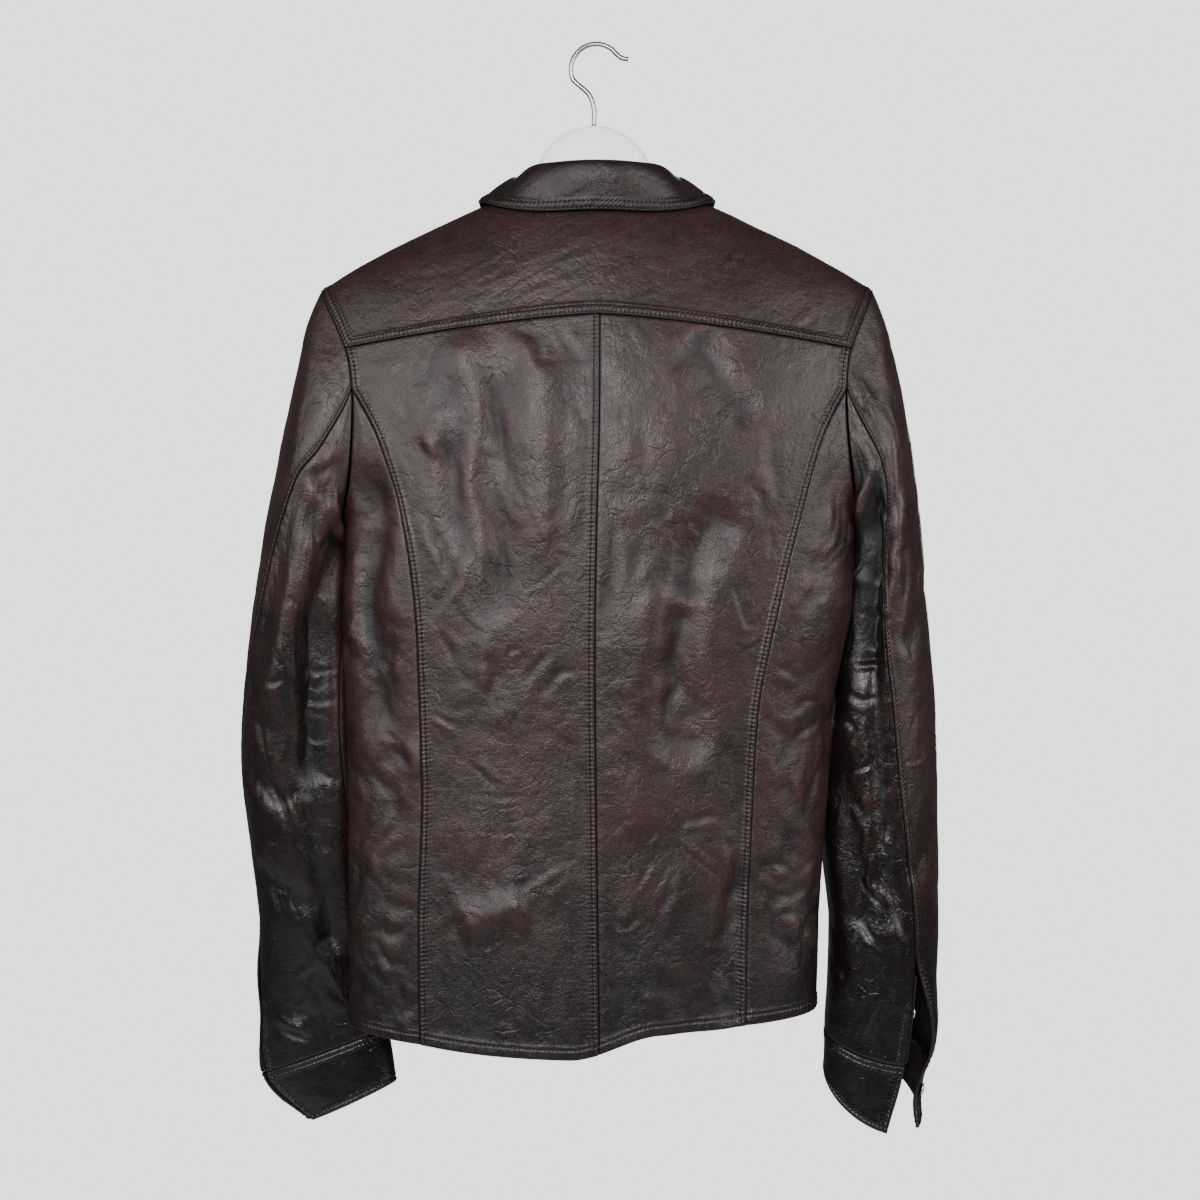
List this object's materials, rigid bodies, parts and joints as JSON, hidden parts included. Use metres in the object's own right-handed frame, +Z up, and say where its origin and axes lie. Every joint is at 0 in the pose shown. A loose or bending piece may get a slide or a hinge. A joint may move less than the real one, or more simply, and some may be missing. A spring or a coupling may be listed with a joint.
{
  "type": "leather jacket on a hanger",
  "caption": "Worn dark brown leather shirt jacket with a yoked, seamed back, turned-down collar and open cuffs, hanging on a white hanger with a wire hook.",
  "frame": {"origin": "inside top of the hanger's hook, where it bears on a peg or rail", "axes": "+Z up, +X to the wearer's right, +Y to the wearer's front; the back faces -Y"},
  "size_m": [0.5711, 0.1281, 0.8842],
  "materials": {
    "leather": "worn semi-gloss, fine grain",
    "snap": "pale metal",
    "hanger": "satin white",
    "hook": "polished wire"
  },
  "bodies": {
    "root": {"yoke": "leather", "collar_stand": "leather", "collar_fall": "leather", "front_placket": "leather", "back_left": "leather", "side_back_left": "leather", "front_left": "leather", "sleeve_upper_left": "leather", "sleeve_under_left": "leather", "cuff_left": "leather", "vent_placket_left": "leather", "back_right": "leather", "side_back_right": "leather", "front_right": "leather", "sleeve_upper_right": "leather", "sleeve_under_right": "leather", "cuff_right": "leather", "vent_placket_right": "leather", "front_snap_1": "snap", "front_snap_2": "snap", "front_snap_3": "snap", "front_snap_4": "snap", "front_snap_5": "snap", "front_snap_6": "snap", "vent_snap_left": "snap", "cuff_snap_left": "snap", "vent_snap_right": "snap", "cuff_snap_right": "snap", "hanger_body": "hanger", "hanger_hook": "hook"}
  },
  "joints": []
}
